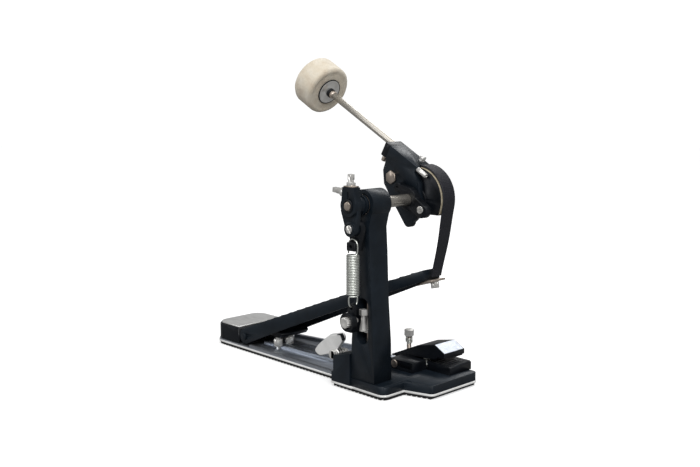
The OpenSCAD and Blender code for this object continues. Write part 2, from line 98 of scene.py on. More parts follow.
class Finish:
    """A procedural material while its nodes are being laid out."""

    def __init__(self, slot, **sockets):
        self.material = bpy.data.materials.new(slot)
        self.material.use_nodes = True
        self.tree = self.material.node_tree
        self.shader = self.tree.nodes["Principled BSDF"]
        for name, value in sockets.items():
            self.shader.inputs[name.replace("_", " ")].default_value = value
        self.object_place = self.add("ShaderNodeTexCoord").outputs["Object"]
        self.last_bump = None

    def add(self, kind, **settings):
        node = self.tree.nodes.new(kind)
        for name, value in settings.items():
            setattr(node, name, value)
        return node

    def join(self, source, target):
        self.tree.links.new(source, target)

    def noise(self, scale, detail=3.0, stretch=(1, 1, 1), place=None):
        """Value of a noise with so many grains to the metre."""
        mapping = self.add("ShaderNodeMapping")
        mapping.inputs["Scale"].default_value = stretch
        self.join(place or self.object_place, mapping.inputs["Vector"])
        node = self.add("ShaderNodeTexNoise")
        node.inputs["Scale"].default_value = scale
        node.inputs["Detail"].default_value = detail
        self.join(mapping.outputs["Vector"], node.inputs["Vector"])
        return node.outputs["Fac"]

    def ramp(self, value, *stops):
        """Colours or greys placed along a value; a stop is (place, colour)."""
        node = self.add("ShaderNodeValToRGB")
        while len(node.color_ramp.elements) < len(stops):
            node.color_ramp.elements.new(0.5)
        for element, (place, colour) in zip(node.color_ramp.elements, stops):
            element.position = place
            grey = isinstance(colour, (int, float))
            element.color = (colour,) * 3 + (1,) if grey else tuple(colour) + (1,)
        self.join(value, node.inputs["Fac"])
        return node.outputs["Color"]

    def colour(self, value, *stops):
        self.join(self.ramp(value, *stops), self.shader.inputs["Base Color"])

    def roughness(self, value, low, high):
        self.join(self.ramp(value, (0.3, low), (0.7, high)), self.shader.inputs["Roughness"])

    def bump(self, height, depth):
        """Surface relief, with depth in metres; calls add up."""
        node = self.add("ShaderNodeBump")
        node.inputs["Strength"].default_value = 1.0
        node.inputs["Distance"].default_value = depth
        self.join(height, node.inputs["Height"])
        if self.last_bump:
            self.join(self.last_bump, node.inputs["Normal"])
        self.last_bump = node.outputs["Normal"]
        self.join(self.last_bump, self.shader.inputs["Normal"])


def coated_metal(slot, dark, light, metallic, low, high):
    """Satin powder coat: fine orange peel, faint cloudiness and rubbed patches."""
    made = Finish(slot, Metallic=metallic, Coat_Weight=0.05, Coat_Roughness=0.30, Specular_IOR_Level=0.34)
    made.colour(made.noise(60, 4), (0.3, dark), (0.72, light))
    made.roughness(made.noise(230, 5), low, high)
    made.bump(made.noise(1900, 2), 0.018 * MM)
    made.bump(made.noise(420, 3), 0.02 * MM)
    return made.material


def bare_metal(slot, dark, light, low, high, grain=(1, 1, 1), scratch=0.006, metallic=0.9):
    """Bare or plated metal with a directional grain and handling marks."""
    made = Finish(slot, Metallic=metallic)
    made.colour(made.noise(140, 4, grain), (0.3, dark), (0.7, light))
    made.roughness(made.noise(300, 5, grain), low, high)
    made.bump(made.noise(2600, 2, grain), scratch * MM)
    return made.material


def rubber():
    """Ribbed pads, and the black ring round the beater's washer, whose black is painted shadow at the felt's
    recess.
    """
    made = Finish("pad_rubber", Specular_IOR_Level=0.35)
    made.colour(made.noise(180, 4), (0.3, (0.010, 0.010, 0.011)), (0.75, (0.030, 0.030, 0.031)))
    made.roughness(made.noise(500, 4), 0.55, 0.85)
    made.bump(made.noise(2400, 3), 0.05 * MM)
    return made.material


def felt():
    """Pressed wool: matted fibres, small darker flecks and a soft sheen."""
    made = Finish("felt", Roughness=0.95, Sheen_Weight=0.35, Sheen_Roughness=0.6)
    made.shader.inputs["Specular IOR Level"].default_value = 0.15
    cloud = made.noise(75, 6)
    made.colour(
        cloud,
        (0.25, (0.62, 0.52, 0.40)),
        (0.5, (0.72, 0.64, 0.51)),
        (0.8, (0.79, 0.73, 0.62)),
    )
    made.bump(made.noise(900, 5, (1, 1, 3)), 0.35 * MM)
    made.bump(made.noise(3200, 4, (3, 1, 1)), 0.16 * MM)
    return made.material


def woven():
    """Strap webbing over ribs that are in the mesh: yarn colour that varies, whose light end is painted highlight
    on the weave.
    """
    made = Finish("woven_strap", Sheen_Weight=0.06, Sheen_Roughness=0.45)
    made.shader.inputs["Specular IOR Level"].default_value = 0.4
    across = made.add("ShaderNodeUVMap").outputs["UV"]
    yarn_and_highlight = made.noise(1, 2, (1100, 700, 1), across)
    made.colour(
        yarn_and_highlight,
        (0.3, (0.002, 0.003, 0.006)),
        (0.55, (0.006, 0.007, 0.012)),
        # Light purple-grey end: painted highlight on the yarns
        (0.8, (0.050, 0.047, 0.062)),
    )
    made.roughness(yarn_and_highlight, 0.5, 0.75)
    made.bump(made.noise(1, 2, (4200, 500, 1), across), 0.06 * MM)
    return made.material


def liner():
    """The pale layer between the strap and the cam."""
    made = Finish("strap_liner", Roughness=0.7)
    made.colour(made.noise(260, 4), (0.3, (0.33, 0.28, 0.19)), (0.7, (0.52, 0.46, 0.34)))
    made.bump(made.noise(1500, 3), 0.04 * MM)
    return made.material


def edge_strip():
    """The bright strip under the base, and the lever's wings."""
    made = Finish("edge_trim", Metallic=0.25, Roughness=0.35)
    made.colour(made.noise(90, 3), (0.3, (0.80, 0.80, 0.79)), (0.7, (0.92, 0.92, 0.91)))
    made.roughness(made.noise(300, 3), 0.28, 0.42)
    made.bump(made.noise(900, 2, (1, 0.1, 1)), 0.01 * MM)
    return made.material


MATERIALS = {
    "navy_metal": coated_metal(
        "navy_metal", (0.005, 0.009, 0.014), (0.009, 0.015, 0.023), 0.2, 0.36, 0.50
    ),
    "black_metal": coated_metal(
        "black_metal", (0.003, 0.004, 0.006), (0.007, 0.009, 0.013), 0.2, 0.32, 0.46
    ),
    "rail_aluminium": bare_metal(
        "rail_aluminium", (0.34, 0.37, 0.42), (0.52, 0.55, 0.60), 0.28, 0.42, (6, 0.25, 6), 0.012
    ),
    "heel_top": bare_metal(
        "heel_top", (0.66, 0.66, 0.65), (0.80, 0.80, 0.79), 0.40, 0.56, (4, 0.3, 4), 0.012
    ),
    "chrome_parts": bare_metal(
        "chrome_parts", (0.68, 0.67, 0.64), (0.86, 0.85, 0.83), 0.10, 0.24, metallic=0.62
    ),
    "plain_steel": bare_metal(
        "plain_steel", (0.47, 0.40, 0.34), (0.62, 0.54, 0.47), 0.26, 0.42
    ),
    "nickel_rod": bare_metal(
        "nickel_rod", (0.50, 0.47, 0.42), (0.56, 0.53, 0.48), 0.25, 0.27, (0.4, 3, 3), 0.0004, 0.85
    ),
    "spring_steel": bare_metal(
        "spring_steel", (0.62, 0.64, 0.60), (0.80, 0.82, 0.78), 0.20, 0.34
    ),
    "edge_trim": edge_strip(),
    "pad_rubber": rubber(),
    "felt": felt(),
    "woven_strap": woven(),
    "strap_liner": liner(),
}


# ------------------------------------------------------------ mesh helpers

BEVEL_ANGLE = math.radians(30)  # edges sharper than this are rounded
SHARP_ANGLE = math.radians(38)  # edges sharper than this shade as creases


def link(thing):
    """Puts a new object into the scene."""
    bpy.context.scene.collection.objects.link(thing)
    return thing


def in_mm(profile):
    """A profile given in millimetres, in metres."""
    return [(radius * MM, height * MM) for radius, height in profile]


def span(node, direction):
    """How far a CAD node reaches along a direction: its least and greatest place."""
    reach = [vertex.co.dot(direction) for vertex in NODES[node].data.vertices]
    return min(reach), max(reach)


def middle(node):
    """Centre of a CAD node's box."""
    low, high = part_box(node)
    return (low + high) / 2


def joint_place(name):
    """Where a joint is, at rest."""
    return Vector(JOINTS[name]["pos_m"])


def settle(piece, body, slot, replaced=()):
    """Puts a finished piece on its body, with its slot's material."""
    piece.data.materials.clear()
    piece.data.materials.append(MATERIALS[slot])
    if body:
        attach(piece, body)
    if replaced:
        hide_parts(*replaced)
    return piece


def new_piece(name, vertices, faces, smooth_angle=40):
    """An object from points and faces, with its normals made to face outwards."""
    mesh = bpy.data.meshes.new(name)
    mesh.from_pydata([tuple(point) for point in vertices], [], faces)
    shape = bmesh.new()
    shape.from_mesh(mesh)
    bmesh.ops.remove_doubles(shape, verts=shape.verts, dist=1e-7)
    bmesh.ops.recalc_face_normals(shape, faces=shape.faces)
    shape.to_mesh(mesh)
    shape.free()
    mesh.shade_smooth()
    mesh.set_sharp_from_angle(angle=math.radians(smooth_angle))
    return link(bpy.data.objects.new(name, mesh))


def bake_modifiers(piece):
    """Replaces a piece's mesh with the mesh that its modifiers make."""
    bpy.context.view_layer.update()
    evaluated = piece.evaluated_get(bpy.context.evaluated_depsgraph_get())
    mesh = bpy.data.meshes.new_from_object(evaluated)
    piece.modifiers.clear()
    piece.data = mesh


def bevel(piece, width, segments=2):
    """Rounds a piece's sharp edges."""
    modifier = piece.modifiers.new("round", "BEVEL")
    modifier.width = width
    modifier.segments = segments
    modifier.limit_method = "ANGLE"
    modifier.angle_limit = BEVEL_ANGLE
    modifier.use_clamp_overlap = True
    modifier.harden_normals = True
    bake_modifiers(piece)


def frame_at(place, along, side):
    """Matrix whose z runs along a direction from a place, and x roughly to a side."""
    z = Vector(along).normalized()
    hint = Vector(side)
    x = (hint - z * hint.dot(z)).normalized()
    turn = Matrix((x, z.cross(x), z)).transposed().to_4x4()
    return Matrix.Translation(place) @ turn


def lathe(name, profile, where, steps=72, ripple=None):
    """A turned piece: profile is (radius, height) points, closed where radius is 0.

    ripple, if given, is a function of (angle, height, radius) that returns the
    new radius, for knurls and threads.
    """
    vertices, faces, rings = [], [], []
    for radius, height in profile:
        if radius == 0:
            rings.append([len(vertices)])
            vertices.append(where @ Vector((0, 0, height)))
            continue
        ring = []
        for step in range(steps):
            angle = 2 * math.pi * step / steps
            reach = ripple(angle, height, radius) if ripple else radius
            ring.append(len(vertices))
            point = Vector((reach * math.cos(angle), reach * math.sin(angle), height))
            vertices.append(where @ point)
        rings.append(ring)
    for low, high in zip(rings, rings[1:]):
        count = max(len(low), len(high))
        for step in range(count):
            after = (step + 1) % count
            corners = [
                low[step % len(low)],
                low[after % len(low)],
                high[after % len(high)],
                high[step % len(high)],
            ]
            faces.append(list(dict.fromkeys(corners)))
    return new_piece(name, vertices, [face for face in faces if len(face) > 2])


def tube(name, path, radius, sides=12):
    """A round wire along a list of points, with domed ends."""
    vertices, faces = [], []
    side = None
    for index, point in enumerate(path):
        before, after = path[max(index - 1, 0)], path[min(index + 1, len(path) - 1)]
        along = (after - before).normalized()
        if side is None:
            side = along.orthogonal().normalized()
        side = (side - along * side.dot(along)).normalized()
        up = along.cross(side)
        for step in range(sides):
            angle = 2 * math.pi * step / sides
            vertices.append(point + (side * math.cos(angle) + up * math.sin(angle)) * radius)
    last = len(path) - 1
    for ring in range(last):
        for step in range(sides):
            after = (step + 1) % sides
            faces.append(
                [ring * sides + step, ring * sides + after,
                 (ring + 1) * sides + after, (ring + 1) * sides + step]
            )
    for ring, inward in ((0, path[0] - path[1]), (last, path[last] - path[last - 1])):
        tip = len(vertices)
        vertices.append(path[ring] + inward.normalized() * radius * 0.6)
        for step in range(sides):
            faces.append([ring * sides + step, ring * sides + (step + 1) % sides, tip])
    return new_piece(name, vertices, faces, 60)


def helix(centre, radius, low, high, turns, start=0.0, steps=28):
    """Points up a coil about a vertical line."""
    count = int(turns * steps)
    points = []
    for step in range(count + 1):
        share = step / count
        angle = start + 2 * math.pi * turns * share
        points.append(
            centre + Vector((radius * math.cos(angle), radius * math.sin(angle), low + (high - low) * share))
        )
    return points


def knurl(depth, teeth, lead):
    """Ripple for a diamond-cut grip."""

    def cut(angle, height, radius):
        first = abs(math.sin((angle * teeth + height * lead) / 2))
        second = abs(math.sin((angle * teeth - height * lead) / 2))
        return radius - depth * (1 - min(first, second))

    return cut


def thread(depth, pitch):
    """Ripple for a screw thread."""

    def cut(angle, height, radius):
        share = (height / pitch - angle / (2 * math.pi)) % 1
        return radius - depth * abs(2 * share - 1)

    return cut


# ---------------------------------------------------------------- castings


def loose_copy(node):
    """A copy of a CAD node's shape that can be worked on."""
    return link(bpy.data.objects.new(node + "_skin", NODES[node].data.copy()))


def combine(piece, other, operation):
    """Adds another loose piece to a piece, or cuts it out, and uses it up."""
    modifier = piece.modifiers.new("combine", "BOOLEAN")
    modifier.object = other
    modifier.operation = operation
    modifier.solver = "EXACT"
    bake_modifiers(piece)
    bpy.data.objects.remove(other)


def soften(node, width, along_with=()):
    """A CAD node's shape with its edges rounded as a casting's or a turned part's are."""
    piece = loose_copy(node)
    for other in along_with:
        combine(piece, loose_copy(other), "UNION")
    mesh = piece.data
    shape = bmesh.new()
    shape.from_mesh(mesh)
    bmesh.ops.remove_doubles(shape, verts=shape.verts, dist=2e-6)
    bmesh.ops.dissolve_limit(
        shape, angle_limit=math.radians(0.6), verts=shape.verts, edges=shape.edges
    )
    shape.to_mesh(mesh)
    shape.free()
    bevel(piece, width)
    piece.data.shade_smooth()
    piece.data.set_sharp_from_angle(angle=SHARP_ANGLE)
    return settle(piece, BODY_OF[node], SLOT_OF[node], [node, *along_with])


def carve(piece, cutter):
    """Cuts a loose shape out of a settled piece."""
    combine(piece, cutter, "DIFFERENCE")
    piece.data.set_sharp_from_angle(angle=SHARP_ANGLE)


def brick(name, low, high):
    """A plain block between two corners."""
    ends = [Vector(corner) for corner in product(*zip(low, high))]
    sides = [[0, 1, 3, 2], [4, 6, 7, 5], [0, 4, 5, 1], [2, 3, 7, 6], [0, 2, 6, 4], [1, 5, 7, 3]]
    return new_piece(name, ends, sides)


def rounded(corners, radius, steps=6):
    """An outline's corners, each turned into a short curve."""
    points = []
    count = len(corners)
    for index, corner in enumerate(corners):
        here = Vector(corner)
        back = Vector(corners[index - 1]) - here
        ahead = Vector(corners[(index + 1) % count]) - here
        start = here + back.normalized() * min(radius, back.length / 2)
        end = here + ahead.normalized() * min(radius, ahead.length / 2)
        for step in range(steps + 1):
            share = step / steps
            points.append(start * (1 - share) ** 2 + here * 2 * share * (1 - share) + end * share ** 2)
    return points


def prism(name, base, top):
    """A solid between two outlines that have as many points."""
    count = len(base)
    faces = [list(range(count)), list(range(count, 2 * count))]
    for index in range(count):
        after = (index + 1) % count
        faces.append([index, after, after + count, index + count])
    return new_piece(name, [*base, *top], faces)


def plate(name, outline, x_low, x_high):
    """A flat piece drawn in Y and Z, between two places on X; all in millimetres."""
    return prism(name, *([Vector((x, y, z)) * MM for y, z in outline] for x in (x_low, x_high)))


# Radius in millimetres of the rounded edges of each CAD piece that keeps its shape
EDGE_RADII = {
    "base_rail": 0.5, "rail_trim": 0.5, "rail_pad": 0.4, "base_casting": 1.6,
    "casting_trim": 0.5, "casting_pad": 0.4, "front_block": 1.4, "heel_block": 1.4,
    "heel_plate": 0.6, "heel_bracket": 1.2, "rail_bolts": 0.15, "hinge_pin": 0.4,
    "lock_screw": 0.5, "post": 1.8, "bearings": 0.15,
    "tension_screw": 0.2, "adjuster_yoke": 0.7, "clamp_housing": 0.8, "clamp_pin": 0.4,
    "hoop_seat": 0.9, "toe_clamp": 0.5, "toe_nut": 0.15,
    "axle": 0.5, "axle_cap": 0.5, "cam": 0.6, "strap_liner": 0.2, "cam_clamp": 1.2,
    "clamp_screw": 0.3, "beater_holder": 1.5, "holder_collar": 1.2, "holder_bolt": 0.5,
    "rod_screw": 0.4, "strap_screw": 0.4, "rocker": 0.8, "rocker_plate": 0.3,
    "rocker_screw": 0.4, "rocker_key": 0.4, "hanger_pin": 0.4, "beater_rod": 0.6,
    "hanger": 0.8, "adjuster_knob": 0.15, "clamp_jaw": 1.1,
    "jaw_pad": 0.3,
}
SKINS = {node: soften(node, radius * MM) for node, radius in EDGE_RADII.items()}
soften("footboard", 1.1 * MM, along_with=["board_skirts"])


# ---------------------------------------------------- levers and small fittings


def lock_lever():
    """Two pale wings on a hub with two dark bands, painted shade standing for grooves, and a dark rim at the front
    wing's tip.
    """
    hub = joint_place("lock_turn")
    low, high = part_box("lock_lever")
    width = high.x - low.x
    front, back = high.x / MM, low.x / MM
    wing = rounded(
        [(-92, 30.4), (-83, 25.6), (-64.4, 32), (-55, 35.5),
         (-42.8, 51.6), (-46.4, 58), (-67.5, 52.6), (-84, 39.6)],
        4.2,
    )
    piece = plate("lever_wing", wing, front - 3.4, front)
    bevel(piece, 0.9 * MM, 3)
    settle(piece, "lock_lever", "edge_trim", ["lock_lever"])
    piece = plate("lever_back_wing", [(y - 1.5, z + 1.2) for y, z in wing], back, back + 2.6)
    bevel(piece, 0.8 * MM, 2)
    settle(piece, "lock_lever", "edge_trim")
    axis = frame_at(Vector((low.x, hub.y, hub.z)), X, Z)
    bore, face, rim, chamfer = 3.1 * MM, 6.4 * MM, 7 * MM, 0.6 * MM
    section = [
        (bore, 0), (face, 0), (rim, chamfer), (rim, width - chamfer),
        (face, width), (bore, width), (bore, 0),
    ]
    settle(lathe("lever_hub", section, axis, 64), "lock_lever", "chrome_parts")
    # Two dark rings proud of the hub: painted shade where grooves would be; nothing is cut
    shade_band_profile = in_mm([(6.8, 0), (7.15, 0), (7.15, 1.1), (6.8, 1.1), (6.8, 0)])
    for name, start in (("lever_shade_band", 2.2), ("lever_shade_band_2", 5.6)):
        shade_band = lathe(name, shade_band_profile, axis @ Matrix.Translation((0, 0, start * MM)), 64)
        settle(shade_band, "lock_lever", "black_metal")
    tip = [(-43.4, 51.2), (-42.2, 52.2), (-45.9, 59), (-52, 57.4), (-51.4, 56.6), (-46.6, 57.4)]
    piece = plate("lever_rim", rounded(tip, 0.5), front - 3.7, front + 0.25)
    settle(piece, "lock_lever", "black_metal")


def square_nut(name, bore, corner, height, place, edge):
    """A bored square nut that stands on a place; all in millimetres."""
    profile = [(bore, 0), (corner, 0), (corner, height), (bore, height), (bore, 0)]
    nut = lathe(name, in_mm(profile), place, 4)
    nut.data.shade_flat()
    bevel(nut, edge * MM)
    return nut


def up_and_turned(foot, rise, turn):
    """A frame further up its own z by so many millimetres, turned by so many degrees."""
    return foot @ Matrix.Translation((0, 0, rise * MM)) @ Matrix.Rotation(math.radians(turn), 4, "Z")


def tension_wheel():
    """The square nut and the cone that turn on the tension screw."""
    low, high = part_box("tension_wheel")
    centre = (low + high) / 2
    foot = frame_at(Vector((centre.x, centre.y, low.z)), Z, X)
    height = (high.z - low.z) / MM
    top = height - 7.2
    cone = [
        (2.5, 0), (5.9, 0), (6.4, 0.6), (6.4, 1.8), (5.9, 2.6),
        (4.1, 12.5), (3.9, top), (2.5, top), (2.5, 0),
    ]
    settle(lathe("tension_cone", in_mm(cone), foot, 72), "tension_wheel", "chrome_parts", ["tension_wheel"])
    nut = square_nut("tension_nut", 2.5, 6.3, 6.8, up_and_turned(foot, height - 7, 20), 0.5)
    settle(nut, "tension_wheel", "chrome_parts")


def slot_fittings():
    """Clears the yoke in front of the post's slot, and stands a bright cone and nut there."""
    low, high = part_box("adjuster_yoke")
    past = 0.001  # how far the cut runs past the yoke's own faces
    cut_low = (low.x - past, -4 * MM, low.z - past)
    cut_high = (0.1125, high.y + past, 0.0993)
    carve(SKINS["adjuster_yoke"], brick("relief", cut_low, cut_high))
    foot = Vector((0.0998, 0.0024, 0.0735))  # of the cone, in the slot
    stem = frame_at(foot, Z, X)
    cone = [
        (0.6, 0), (4.1, 0), (4.55, 0.5), (4.55, 1.6), (4.2, 2.6),
        (2.6, 10.5), (2.5, 18), (0.6, 18), (0.6, 0),
    ]
    settle(lathe("slot_cone", in_mm(cone), stem, 64), "root", "chrome_parts")
    settle(square_nut("slot_nut", 0.6, 5.1, 6.6, up_and_turned(stem, 17.4, 25), 0.4), "root", "chrome_parts")


def pin_slot():
    """Screwdriver slot in the hanger pin's head."""
    low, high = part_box("hanger_pin")
    centre = (low + high) / 2
    half_width, half_length = 0.75 * MM, 9 * MM
    slot = brick(
        "slot",
        (high.x - 0.9 * MM, centre.y - half_width, centre.z - half_length),
        (high.x + 1 * MM, centre.y + half_width, centre.z + half_length),
    )
    turn = Matrix.Rotation(math.radians(28), 4, "X")
    slot.data.transform(Matrix.Translation(centre) @ turn @ Matrix.Translation(-centre))
    carve(SKINS["hanger_pin"], slot)


def knob_dish():
    """Shallow dish in the adjuster knob's face."""
    low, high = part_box("adjuster_knob")
    centre = (low + high) / 2
    place = frame_at(Vector((high.x - 1.4 * MM, centre.y, centre.z)), X, Z)
    dish = [(0, 0), (2.1, 0.1), (4.6, 1.6), (4.6, 3), (0, 3)]
    carve(SKINS["adjuster_knob"], lathe("dish", in_mm(dish), place, 36))


def dark_rings():
    """Rings round the shaft's pale cap and round the hanger pin."""
    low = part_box("axle_cap")[0]
    rocker_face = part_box("rocker")[1].x
    cap_ring = [(5.3, 0), (7.5, 0), (7.5, 0.7), (6.9, 1.2), (5.7, 1.2), (5.3, 0.8), (5.3, 0)]
    pin_ring = [(4.9, 0), (6.4, 0), (6.4, 0.35), (6.0, 0.7), (5.2, 0.7), (4.9, 0.4), (4.9, 0)]
    for name, around, x, ring, slot in (
        ("axle_ring", "axle_cap", low.x - 0.2 * MM, cap_ring, "black_metal"),
        ("pin_ring", "hanger_pin", rocker_face - 2.3 * MM, pin_ring, "navy_metal"),
    ):
        centre = middle(around)
        place = frame_at(Vector((x, centre.y, centre.z)), X, Z)
        settle(lathe(name, in_mm(ring), place, 72), "shaft", slot)


def jaw_highlight_plate():
    """Pale plate on the jaw's front bevel: a painted highlight where the satin black bevel reflects the light."""
    low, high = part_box("clamp_jaw")
    top, bottom = Vector((0, 30.9, 46.55)) * MM, Vector((0, 45.2, 38.95)) * MM
    down = (bottom - top).normalized()
    proud = Vector((0, -down.z, down.y)) * 0.16 * MM
    left, right = low.x + 1.0 * MM, high.x - 1.0 * MM
    corners = ((left, top), (right, top), (right, bottom), (left, bottom))
    base = [Vector((x, place.y, place.z)) for x, place in corners]
    # Pale plate over the bevel: painted highlight on the satin black face
    settle(prism("jaw_bevel", base, [corner + proud for corner in base]), "jaw", "rail_aluminium")


def round_heel():
    """Rounds the upright corners at the heel end, in plan."""
    low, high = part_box("base_rail")
    corner, clear, top = 8 * MM, 0.01, 0.08

    def arc(x, first):
        turns = (math.radians(first + 7.5 * step) for step in range(13))
        y = low.y + corner
        return [(x + corner * math.cos(turn), y + corner * math.sin(turn)) for turn in turns]

    outlines = {
        "corner_a": [(low.x - clear, low.y - clear)] + arc(low.x + corner, 180)[::-1],
        "corner_b": [(high.x + clear, low.y - clear)] + arc(high.x - corner, 270),
    }
    for node in ("base_rail", "rail_trim", "rail_pad", "heel_block", "heel_plate"):
        for name, outline in outlines.items():
            ends = ([Vector((x, y, z)) for x, y in outline] for z in (-clear, top))
            carve(SKINS[node], prism(name, *ends))


def hinge_caps():
    """Plain caps over the ends of the heel hinge pin."""
    hinge = joint_place("footboard_hinge")
    ear = 12 * MM
    ears = [
        vertex.co.x
        for vertex in NODES["board_skirts"].data.vertices
        if abs(vertex.co.y - hinge.y) < ear and abs(vertex.co.z - hinge.z) < ear
    ]
    left, right = min(ears), max(ears)
    pin_low, pin_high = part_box("hinge_pin")
    proud = max(pin_high.x - right, left - pin_low.x, 0) / MM + 0.5
    cap = [(0, 0), (4.6, 0), (4.6, proud - 0.4), (4.1, proud), (0, proud), (0, 0)]
    for name, x, out in (("hinge_cap_1", right, X), ("hinge_cap_2", left, -X)):
        place = frame_at(Vector((x, hinge.y, hinge.z)), out, Z)
        settle(lathe(name, in_mm(cap), place, 48), "footboard", "navy_metal")


def deck_grip():
    """Low ribs across the top of the footboard."""
    mesh = NODES["footboard"].data
    deck = BVHTree.FromPolygons([v.co for v in mesh.vertices], [tuple(f.vertices) for f in mesh.polygons])
    low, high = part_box("footboard")
    ribs, first, margins = 17, 0.034, 0.05
    inset, least_width = 6, 22  # millimetres from the deck's edge, and across it
    lift = Z * 0.1 * MM
    above = high.z + 0.05  # where the rays that find the deck start

    def top_of(x, y):
        return deck.ray_cast(Vector((x, y, above)), -Z)[0]

    for number in range(ribs):
        y = low.y + first + (high.y - low.y - margins) * number / (ribs - 1)
        across = (top_of(low.x + step * MM, y) for step in range(int((high.x - low.x) / MM)))
        hits = [place for place in across if place]
        if len(hits) < least_width:
            continue
        start, end = hits[inset], hits[-inset - 1]
        path = [start + lift, (start + end) / 2 + lift, end + lift]
        settle(tube(f"grip_{number + 1}", path, 1.0 * MM, 12), "footboard", "navy_metal")


lock_lever()
tension_wheel()
slot_fittings()
pin_slot()
knob_dish()
dark_rings()
jaw_highlight_plate()
round_heel()
hinge_caps()
deck_grip()


# ------------------------------------------------------------------ beater

ROD_UP = Vector(JOINTS["beater_height"]["axis"]).normalized()
ROD_LINE = middle("beater_rod")


def on_rod(distance):
    """Frame on the rod's axis at a distance along it, as spans are measured."""
    return frame_at(ROD_LINE + ROD_UP * (distance - ROD_LINE.dot(ROD_UP)), ROD_UP, X)


def beater_felt():
    """The felt head: rounded rims, a slightly proud middle and matted wool."""
    near, far = span("beater_felt", ROD_UP)
    low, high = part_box("beater_felt")
    radius, length = (high.x - low.x) / 2, far - near
    rim = 5.2 * MM
    profile = [(0, 0.9 * MM)]
    for share in (0.12, 0.25, 0.36, 0.48, 0.6, 0.7, 0.78):
        profile.append((radius * share, 0.3 * MM * (1 + math.cos(share * 16))))
    for step in range(9):
        turn = math.pi / 2 * step / 8
        profile.append((radius - rim + rim * math.sin(turn), rim - rim * math.cos(turn)))
    for step in range(1, 16):
        share = step / 16
        bulge = 0.35 * MM * math.sin(math.pi * share)
        profile.append((radius - 0.2 * MM + bulge, rim + (length - 2 * rim) * share))
    for step in range(9):
        turn = math.pi / 2 * step / 8
        profile.append((radius - rim + rim * math.cos(turn), length - rim + rim * math.sin(turn)))
    for share in (0.7, 0.55, 0.4, 0.25, 0.1):
        profile.append((radius * share, length + 0.4 * MM * (1 - share)))
    profile.append((0, length + 0.45 * MM))
    piece = lathe("felt_head", profile, on_rod(near), 144)
    modifier = piece.modifiers.new("finer", "SUBSURF")
    modifier.levels = modifier.render_levels = 1
    bake_modifiers(piece)
    for vertex in piece.data.vertices:
        place = vertex.co
        lumps = noise.noise(place * 90) * 0.35 + noise.noise(place * 420) * 0.16
        vertex.co = place + vertex.normal * lumps * MM
    piece.data.shade_smooth()
    settle(piece, BODY_OF["beater_felt"], "felt", ["beater_felt"])


def beater_washer():
    """A dished washer in a black ring, whose black is painted shadow at the edge of the felt's recess round the
    washer.
    """
    near, far = span("beater_washer", ROD_UP)
    low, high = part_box("beater_washer")
    radius = (high.x - low.x) / 2
    dish = [
        (3.9 * MM, 0.9 * MM), (3.9 * MM, -0.5 * MM), (7 * MM, -0.5 * MM), (8.6 * MM, 0.1 * MM),
        (radius - 2.2 * MM, 0.4 * MM), (radius - 0.9 * MM, 0.1 * MM), (radius - 0.3 * MM, 0.35 * MM),
        (radius, 0.75 * MM), (radius - 0.3 * MM, 1.05 * MM), (3.9 * MM, 1.05 * MM),
    ]
    washer = lathe("felt_washer", dish + dish[:1], on_rod(near), 96)
    settle(washer, BODY_OF["beater_washer"], "chrome_parts", ["beater_washer"])
    # Black ring a little wider than the washer: painted shadow at the edge of the felt's recess
    shadow_ring_radius = radius + 1.0 * MM
    shadow_ring_profile = [
        (3.9 * MM, 0.1 * MM), (shadow_ring_radius - 1.4 * MM, 0.05 * MM), (shadow_ring_radius - 0.9 * MM, -0.65 * MM),
        (shadow_ring_radius - 0.2 * MM, -0.5 * MM), (shadow_ring_radius, 0.1 * MM), (shadow_ring_radius - 0.1 * MM, 0.75 * MM),
        (3.9 * MM, 0.75 * MM),
    ]
    ring = lathe("washer_shadow_ring", shadow_ring_profile + shadow_ring_profile[:1], on_rod(far), 96)
    settle(ring, BODY_OF["beater_ring"], "pad_rubber", ["beater_ring"])


def beater_neck():
    """A bronze-coloured sleeve on the rod, under a black knurled grip."""
    near, far = span("beater_neck", ROD_UP)
    length = (far - near) / MM
    seam = 4.6
    sleeve = [(3.95, 0), (4.5, 0), (4.8, 0.4), (4.8, seam - 0.3), (4.5, seam), (3.95, seam), (3.95, 0)]
    collar = lathe("neck_sleeve", in_mm(sleeve), on_rod(near), 64)
    settle(collar, BODY_OF["beater_neck"], "plain_steel")
    heights = [seam + 0.2 + (length - seam - 0.4) * step / 14 for step in range(15)]
    grip = [(3.95, seam)] + [(5.7, height) for height in heights] + [(3.95, length), (3.95, seam)]
    knob = lathe("neck_grip", in_mm(grip), on_rod(near), 120, knurl(0.4 * MM, 24, 2300))
    settle(knob, BODY_OF["beater_neck"], "black_metal", ["beater_neck"])


beater_felt()
beater_washer()
beater_neck()


# ----------------------------------------------------------------- springs


def half_loop(start, end, away, steps=16):
    """Points of a half-circle from start to end that bulges along away."""
    centre, arm = (start + end) / 2, (start - end) / 2
    bulge = Vector(away).normalized() * arm.length
    turns = (math.pi * step / steps for step in range(steps + 1))
    return [centre + arm * math.cos(turn) + bulge * math.sin(turn) for turn in turns]


